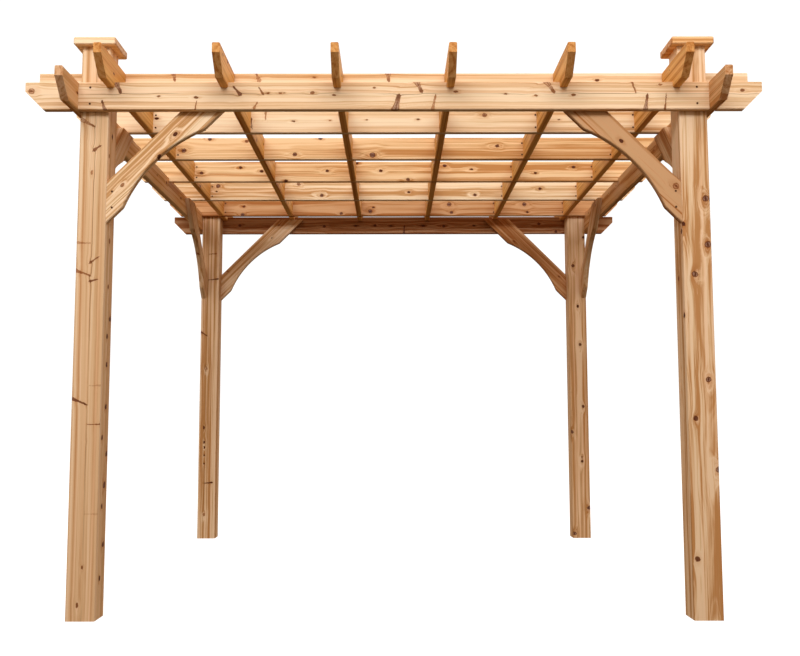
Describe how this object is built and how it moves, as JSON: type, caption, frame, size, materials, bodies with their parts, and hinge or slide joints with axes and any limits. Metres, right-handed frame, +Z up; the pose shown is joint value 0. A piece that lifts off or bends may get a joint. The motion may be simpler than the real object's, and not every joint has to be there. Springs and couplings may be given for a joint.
{
  "type": "wooden pergola",
  "caption": "Free-standing square timber pergola: capped posts, cross-lapped header boards, hollowed knee braces and an open half-lapped roof grid for shade and climbing plants.",
  "frame": {"origin": "on the ground at the middle of the plan", "axes": "+Z up, +X to the right and +Y to the back, seen from the front"},
  "size_m": [3.634, 3.634, 2.84],
  "materials": {
    "post_timber": "planed softwood, clear oiled",
    "cap_board": "planed softwood, clear oiled",
    "header_board": "planed softwood, clear oiled",
    "brace_board": "planed softwood, clear oiled",
    "rafter_board": "planed softwood, clear oiled",
    "slat_board": "planed softwood, clear oiled"
  },
  "bodies": {
    "root": {"post_front_left": "post_timber", "cap_front_left": "cap_board", "brace_across_front_left": "brace_board", "brace_along_front_left": "brace_board", "post_front_right": "post_timber", "cap_front_right": "cap_board", "brace_across_front_right": "brace_board", "brace_along_front_right": "brace_board", "post_back_left": "post_timber", "cap_back_left": "cap_board", "brace_across_back_left": "brace_board", "brace_along_back_left": "brace_board", "post_back_right": "post_timber", "cap_back_right": "cap_board", "brace_across_back_right": "brace_board", "brace_along_back_right": "brace_board", "header_front": "header_board", "header_back": "header_board", "header_left": "header_board", "header_right": "header_board", "rafter_1": "rafter_board", "rafter_2": "rafter_board", "rafter_3": "rafter_board", "rafter_4": "rafter_board", "rafter_5": "rafter_board", "rafter_6": "rafter_board", "slat_1": "slat_board", "slat_2": "slat_board", "slat_3": "slat_board", "slat_4": "slat_board", "slat_5": "slat_board", "slat_6": "slat_board"}
  },
  "joints": []
}
